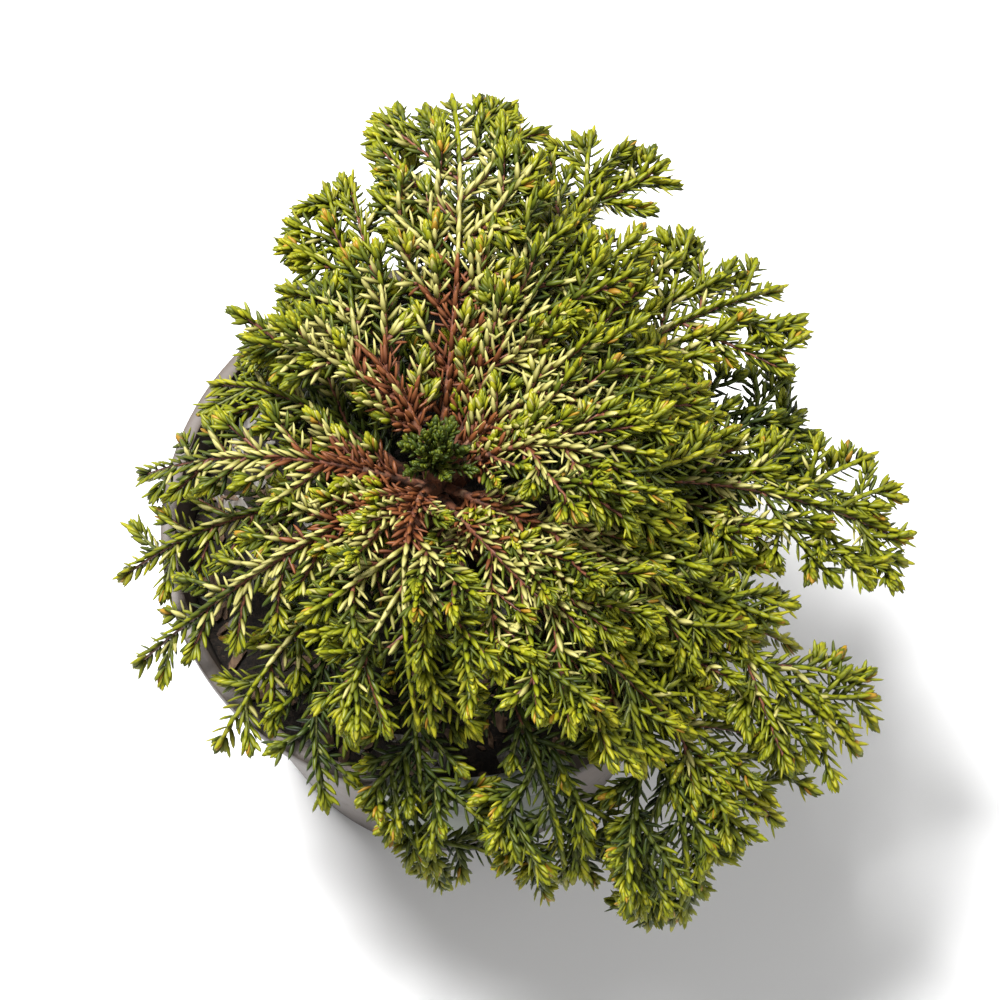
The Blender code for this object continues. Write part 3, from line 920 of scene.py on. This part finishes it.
def grow(bough, own):
    """All the shoots of one bough, by the same rule as the part's own masses."""
    rng = random.Random(SEED * 1000 + own)
    share, first = LIMB_SHARE[bough.tier], LEADER_START[bough.tier]
    run = bough.length(share, 1)
    end = 1 - 0.6 * SIDE_LENGTH[0] / run * (1 - share)
    shoots = [grow_leader(bough, first)]
    count = max(3, round(run / SIDE_PITCH))
    hand = 1 if own % 2 else -1
    for number in range(count):
        t = share + (end - share) * (number + 0.5) / count
        direction = bough.direction(t)
        up = frame_along(direction)[1]
        left_over = (1 - t) / (1 - share)
        length = SIDE_LENGTH[0] + (SIDE_LENGTH[1] - SIDE_LENGTH[0]) * left_over ** 0.8
        length *= rng.uniform(*SIDE_LENGTH_VARIES)
        if on_thin_side(bough):
            length *= THIN_SHARE
        hand = -hand
        vary = rng.uniform(-SIDE_ANGLE_VARIES, SIDE_ANGLE_VARIES)
        shoot = turned(direction, up, hand * (SIDE_ANGLE + vary))
        shoot = turned(shoot, shoot.cross(up), -SIDE_DROOP)
        side_shoots(shoots, bough, bough.at(t), shoot, up, length, SIDE_START * t, rng)
    for number in range(INNER_SHOOTS):
        t = first + (share - first) * (number + 0.8) / INNER_SHOOTS
        direction = bough.direction(t)
        up = frame_along(direction)[1]
        hand = -hand
        shoot = turned(direction, up, hand * rng.uniform(*INNER_ANGLE))
        line = arched(bough.at(t), shoot, up, rng.uniform(*INNER_LENGTH), rng)
        shoots.append(Shoot(bough, line, up, 0.02, scale=0.9).clip())
    return [shoot for shoot in shoots if len(shoot.points) > FEWEST_MARKS]


def grow_tuft():
    """The short upright shoots in the middle of the crown, on the stem's top."""
    rng = random.Random(SEED)
    shoots = []
    for number in range(TUFT_SHOOTS):
        share = number / TUFT_SHOOTS
        lean = math.radians(TUFT_LEAN[0] + TUFT_LEAN[1] * share)
        direction = at_bearing(math.sin(lean), GOLDEN_ANGLE * number, math.cos(lean))
        height = POT_HEIGHT + STEM_HEIGHT + TUFT_HEIGHT * (1 - 0.6 * share) - TUFT_SUNK
        up = direction.cross(Vector((0, 0, 1))).cross(direction).normalized()
        length = TUFT_SHOOT_LENGTH * rng.uniform(0.9, 1.15)
        line = arched(STEM_SPOT + Vector((0, 0, height)), direction, up, length, rng)
        shoots.append(Shoot(None, line, up, 0.0, TUFT_SCALE))
    return shoots


def is_sunlit(shoot):
    """Whether a shoot belongs to one of the two tiers on top."""
    return shoot.bough is not None and shoot.bough.tier in ("upper", "middle")


def soft_wood(name, colours):
    finish = Finish(name)
    grain = finish.noise(scale=650, detail=3)
    colour = finish.blend(grain.rise(0.3, 0.7), *colours)
    return finish.wear(colour, 0.45 + grain * 0.25, grain, depth=0.0002, strength=0.5)


shoots = [shoot for own, bough in enumerate(boughs) for shoot in grow(bough, own)] + grow_tuft()
twig_parts = {colour: ([], []) for colour in TWIG_COLOURS}
for shoot in shoots:
    marks = shoot.points[::2]
    if len(shoot.points) % 2 == 0:
        marks = marks + shoot.points[-1:]
    root = TWIG_RADIUS * (LEADER_THICKER if shoot.start == 0 else SIDE_THINNER)
    count = len(marks) - 1
    radii = [root + (TWIG_TIP_RADIUS - root) * n / count for n in range(count + 1)]
    colour = "bronze" if is_sunlit(shoot) and shoot.start < OLD_WOOD_START else "green"
    add_tube(marks, radii, TWIG_SIDES, twig_parts[colour])
for colour, colours in TWIG_COLOURS.items():
    twigs = joined(colour + "_twigs", *twig_parts[colour], soft_wood(colour + "_twig", colours))


# The needles: opposite pairs, each pair square to the last, so that a shoot has four ranks, with
# a rounded bundle of short ones at its tip. Rust red by the stem, then straw, lime and gold on
# the sunlit tiers, and dark to mid green below. Each tier's needles are joined by colour.

NEEDLE_LENGTH = 0.0069
NEEDLE_WIDTH = 0.00165
NEEDLE_THICKNESS = 0.00090
NEEDLE_SIDES = 4
# The rings of a needle between its root and its point: the share of its length and its fullness
NEEDLE_RINGS = ((0.13, 0.72), (0.50, 1.0), (0.84, 0.60))
NEEDLE_ROLL = 25
NEEDLE_SWING = 9
# How far a needle stands off its shoot, in degrees, in the top and in the side ranks
NEEDLE_SPREAD = (22, 45)
NEEDLE_SPREAD_VARIES = 6
NEEDLE_LENGTH_VARIES = (0.85, 1.1)
NEEDLE_WIDTH_VARIES = (0.9, 1.12)
TOP_RANK_BROADER = 1.12
NEEDLE_TWIST = (0.5, 1.0)
NEEDLE_CURL = 0.12
NEEDLE_ROOT_OUT = 0.0004
TIP_PAIRS = 6
TIP_RUN = 0.0045
# In a tip bundle, the spread and the shortness of its first pair, and what each next one loses
TIP_SPREAD = (46, 6.5)
TIP_SPREAD_VARIES = 5
TIP_SHORTER = (0.86, 0.03)
TIP_BROADER = 1.2
TIP_CURL = 0.30
# The colour of a needle at its root and at its point
NEEDLE_COLOURS = {
    "rust": ((0.066, 0.017, 0.006), (0.215, 0.072, 0.024)),
    "straw": ((0.150, 0.142, 0.018), (0.490, 0.450, 0.150)),
    "lime": ((0.052, 0.066, 0.002), (0.225, 0.240, 0.006)),
    "gold": ((0.100, 0.098, 0.003), (0.330, 0.316, 0.010)),
    "amber": ((0.20, 0.088, 0.006), (0.36, 0.205, 0.016)),
    "olive": ((0.027, 0.040, 0.003), (0.094, 0.116, 0.006)),
    "green": ((0.013, 0.025, 0.003), (0.046, 0.068, 0.006)),
    "deep": ((0.005, 0.010, 0.002), (0.019, 0.033, 0.005)),
}
# For each tier, the share of the way out where each colour ends; the last one never does
NO_END = 9
RIPENESS = {
    "upper": ((0.24, "rust"), (0.53, "straw"), (0.62, "olive"), (0.90, "lime"), (NO_END, "gold")),
    "middle": (
        (0.26, "green"), (0.44, "olive"), (0.54, "straw"), (0.88, "lime"), (NO_END, "gold"),
    ),
    "low": ((0.42, "deep"), (0.66, "green"), (0.90, "olive"), (NO_END, "lime")),
    "weeping": (
        (0.30, "deep"), (0.54, "green"), (0.78, "olive"), (0.94, "lime"), (NO_END, "gold"),
    ),
}
RIPE_BY_REACH = 0.62
RIPE_VARIES = 0.05
# The upper tier keeps its rust longer between these bearings and loses it sooner elsewhere
RUSTY_SIDE = (60, 260)
RUSTY_LAG, STRAWY_LEAD = -0.06, 0.07
# The colour that a needle has instead where it faces down or stands in shade
SHADED = {
    "rust": "rust", "straw": "olive", "lime": "olive", "gold": "lime", "olive": "green",
    "green": "deep", "deep": "deep",
}
FACES_DOWN, FACES_SIDEWAYS, SIDEWAYS_SHADED = -0.3, 0.35, 0.3
# The colours of the tip bundles and how often each turns up
TUFT_COLOURS = (("green", "deep", "olive"), (5, 2, 3))
TUFT_TIP_COLOURS = (("green", "olive"), (3, 2))
LOW_TIP_COLOURS = (("lime", "olive", "gold"), (5, 3, 1))
TIP_COLOURS = (("gold", "lime", "amber", "olive"), (26, 48, 6, 20))


def drawn(choices, rng):
    names, weights = choices
    return rng.choices(names, weights)[0]


def needle_colour(shoot, along, facing, rng):
    """The colour of a needle from its tier, its place on the plant and the way it faces."""
    if shoot.bough is None:
        return drawn(TUFT_COLOURS, rng)
    point = shoot.points[min(int(along * len(shoot.points)), len(shoot.points) - 1)]
    away = point - STEM_SPOT
    out = away.xy.length / shoot.bough.reach
    by_length = (1 - RIPE_BY_REACH) * along * (1 if shoot.start else out)
    ripe = RIPE_BY_REACH * out + by_length + rng.gauss(0, RIPE_VARIES)
    if shoot.bough.tier == "upper":
        bearing = math.degrees(math.atan2(away.y, away.x)) % 360
        ripe += RUSTY_LAG if RUSTY_SIDE[0] < bearing < RUSTY_SIDE[1] else STRAWY_LEAD
    colour = next(name for end, name in RIPENESS[shoot.bough.tier] if ripe < end)
    if facing < FACES_DOWN or (facing < FACES_SIDEWAYS and rng.random() < SIDEWAYS_SHADED):
        colour = SHADED[colour]
    return colour


def tip_colour(shoot, rng):
    if shoot.bough is None:
        return drawn(TUFT_TIP_COLOURS, rng)
    return drawn(LOW_TIP_COLOURS if shoot.bough.tier == "low" else TIP_COLOURS, rng)


def layer_of(shoot):
    """The tier whose needles a shoot's are joined to: the low tiers and the tuft share one."""
    return shoot.bough.tier if is_sunlit(shoot) else "lower"


def leaf_shoot(shoot, groups, rng):
    """Deals out one shoot's needles to the groups of their colours."""
    points, count = shoot.points, len(shoot.points)
    roll = rng.uniform(-NEEDLE_ROLL, NEEDLE_ROLL)
    for number in range(count + TIP_PAIRS):
        tip = number - (count - 2)
        index = min(number, count - 1)
        before, after = points[max(index - 1, 0)], points[min(index + 1, count - 1)]
        along = (after - before).normalized()
        side = along.cross(shoot.up).normalized()
        top = side.cross(along)
        root = points[index]
        if tip > 0:
            root = points[-1] - TIP_RUN * (1 - tip / (TIP_PAIRS + 1)) * along
        for half in (0, 180):
            swing = rng.uniform(-NEEDLE_SWING, NEEDLE_SWING)
            angle = math.radians(roll + 90 * (number % 2) + half + swing)
            outward = math.cos(angle) * side + math.sin(angle) * top
            wide = abs(outward.dot(side))
            spread = NEEDLE_SPREAD[0] + (NEEDLE_SPREAD[1] - NEEDLE_SPREAD[0]) * wide
            spread += rng.uniform(-NEEDLE_SPREAD_VARIES, NEEDLE_SPREAD_VARIES)
            length = NEEDLE_LENGTH * shoot.scale * rng.uniform(*NEEDLE_LENGTH_VARIES)
            broad = rng.uniform(*NEEDLE_WIDTH_VARIES) * (TOP_RANK_BROADER if wide < 0.5 else 1.0)
            curl = NEEDLE_CURL
            if tip > 0:
                spread = TIP_SPREAD[0] - TIP_SPREAD[1] * tip
                spread += rng.uniform(-TIP_SPREAD_VARIES, TIP_SPREAD_VARIES)
                length *= TIP_SHORTER[0] - TIP_SHORTER[1] * tip
                broad *= TIP_BROADER
                curl = TIP_CURL
                colour = tip_colour(shoot, rng)
            else:
                colour = needle_colour(shoot, index / count, outward.z, rng)
            spread = math.radians(spread)
            direction = math.cos(spread) * along + math.sin(spread) * outward
            across = along.cross(outward).normalized()
            across = Matrix.Rotation(rng.uniform(*NEEDLE_TWIST) * wide, 3, direction) @ across
            root_out = root + NEEDLE_ROOT_OUT * outward
            groups.setdefault((layer_of(shoot), colour), []).append(
                (*root_out, *direction, *across, *along, length, broad, rng.random(), curl))


def needle_outline():
    """One needle's points, as shares of its length and offsets, and its triangles."""
    stations = [(0.0, 0.0, 0.0)]
    for share, full in NEEDLE_RINGS:
        for side in range(NEEDLE_SIDES):
            angle = math.tau * (side + 0.25) / NEEDLE_SIDES
            stations.append((
                share,
                full * math.cos(angle) * NEEDLE_WIDTH / 2,
                full * math.sin(angle) * NEEDLE_THICKNESS / 2,
            ))
    stations.append((1.0, 0.0, 0.0))
    point, faces = len(stations) - 1, []
    for side in range(NEEDLE_SIDES):
        after = (side + 1) % NEEDLE_SIDES
        faces.append((0, 1 + after, 1 + side))
        for ring in range(len(NEEDLE_RINGS) - 1):
            low, high = 1 + ring * NEEDLE_SIDES, 1 + (ring + 1) * NEEDLE_SIDES
            faces.append((low + side, low + after, high + after))
            faces.append((low + side, high + after, high + side))
        last_ring = 1 + (len(NEEDLE_RINGS) - 1) * NEEDLE_SIDES
        faces.append((last_ring + side, last_ring + after, point))
    return stations, faces


def needle_mesh(rows):
    """The points, triangles and marks of all needles of one colour."""
    rows = np.asarray(rows)
    root, direction, across, along = (rows[:, at:at + 3] for at in (0, 3, 6, 9))
    length, broad, tone, curl = (rows[:, at:at + 1] for at in (12, 13, 14, 15))
    thick = np.cross(direction, across)
    stations, faces = needle_outline()
    spots = np.stack([
        root + length * (share * direction + curl * share * share * (along - direction))
        + broad * (wide * across + high * thick)
        for share, wide, high in stations
    ], axis=1)
    offsets = np.arange(len(rows))[:, None, None] * len(stations)
    triangles = (np.asarray(faces)[None] + offsets).reshape(-1, 3)
    shares = np.asarray([share for share, _, _ in stations])[None].repeat(len(rows), 0)
    marks = np.stack([shares, tone.repeat(len(stations), 1)], axis=2)
    return spots.reshape(-1, 3), triangles, marks.reshape(-1, 2)


def needle_finish(name, base, point):
    """A needle's colour runs from its root to its point, and differs from needle to needle."""
    finish = Finish(name + "_needle", Specular_IOR_Level=0.28)
    marks = finish.node("ShaderNodeUVMap", {"uv_map": "along_and_tone"}, output="UV")
    along, tone = finish.axis("X", marks), finish.axis("Y", marks)
    colour = finish.blend(along.rise(0.05, 0.75), base, point)
    darker = tuple(0.62 * part for part in base)
    colour = finish.blend(tone.rise(0.35, 1.0) * 0.45, colour, darker)
    return finish.wear(colour, 0.38 + tone * 0.2)


rng = random.Random(SEED)
groups = {}
for shoot in shoots:
    leaf_shoot(shoot, groups, rng)
finishes = {name: needle_finish(name, *colours) for name, colours in NEEDLE_COLOURS.items()}
for (layer, colour), rows in sorted(groups.items()):
    spots, triangles, marks = needle_mesh(rows)
    needles = joined(f"{layer}_{colour}_needles", spots, triangles, finishes[colour], marks)
    tiers = ("low", "weeping") if layer == "lower" else (layer,)
    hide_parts(*["foliage_" + bough.name for bough in boughs if bough.tier in tiers])
    if layer == "lower":
        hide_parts("foliage_tuft")


# The studio: a plain pale floor, a soft key light from the upper left, a weaker one from the
# right, and a camera that looks down on the crown at the photograph's angle.

FLOOR_SIZE = 6.0
FLOOR_WHITE = (0.90, 0.90, 0.90, 1)
# Each light's place, its size and its power
LIGHTS = {
    "key": ((-0.38, 0.32, 1.36), 0.42, 38.0),
    "fill": ((0.90, -0.60, 1.00), 1.20, 6.0),
}
LIGHT_AIM = Vector((0.02, 0, POT_HEIGHT))
SURROUND_STRENGTH = 0.32
CAMERA_PLACE = (0.01605, -0.27769, 0.79059)
CAMERA_TILT = 23.8
CAMERA_LENS = 76.93

floor_bm = bmesh.new()
bmesh.ops.create_grid(floor_bm, x_segments=1, y_segments=1, size=FLOOR_SIZE / 2)
floor_mesh = bpy.data.meshes.new("floor")
floor_bm.to_mesh(floor_mesh)
floor_bm.free()
floor_mesh.materials.append(
    Finish("floor_white", Base_Color=FLOOR_WHITE, Roughness=0.9).material
)
floor = bpy.data.objects.new("floor", floor_mesh)
bpy.context.scene.collection.objects.link(floor)

for name, (place, size, power) in LIGHTS.items():
    lamp = bpy.data.lights.new(name, "AREA")
    lamp.shape, lamp.size, lamp.energy = "DISK", size, power
    light = bpy.data.objects.new(name, lamp)
    light.location = place
    light.rotation_euler = (LIGHT_AIM - light.location).to_track_quat("-Z", "Y").to_euler()
    bpy.context.scene.collection.objects.link(light)

world = bpy.data.worlds.new("studio")
world.use_nodes = True
background = world.node_tree.nodes["Background"]
background.inputs["Color"].default_value = (1.0, 1.0, 1.0, 1)
background.inputs["Strength"].default_value = SURROUND_STRENGTH
bpy.context.scene.world = world
bpy.context.scene.view_settings.view_transform = "Standard"

camera_data = bpy.data.cameras.new("camera")
camera_data.lens = CAMERA_LENS
camera = bpy.data.objects.new("camera", camera_data)
camera.location = CAMERA_PLACE
camera.rotation_euler = (math.radians(CAMERA_TILT), 0, 0)
bpy.context.scene.collection.objects.link(camera)
bpy.context.scene.camera = camera
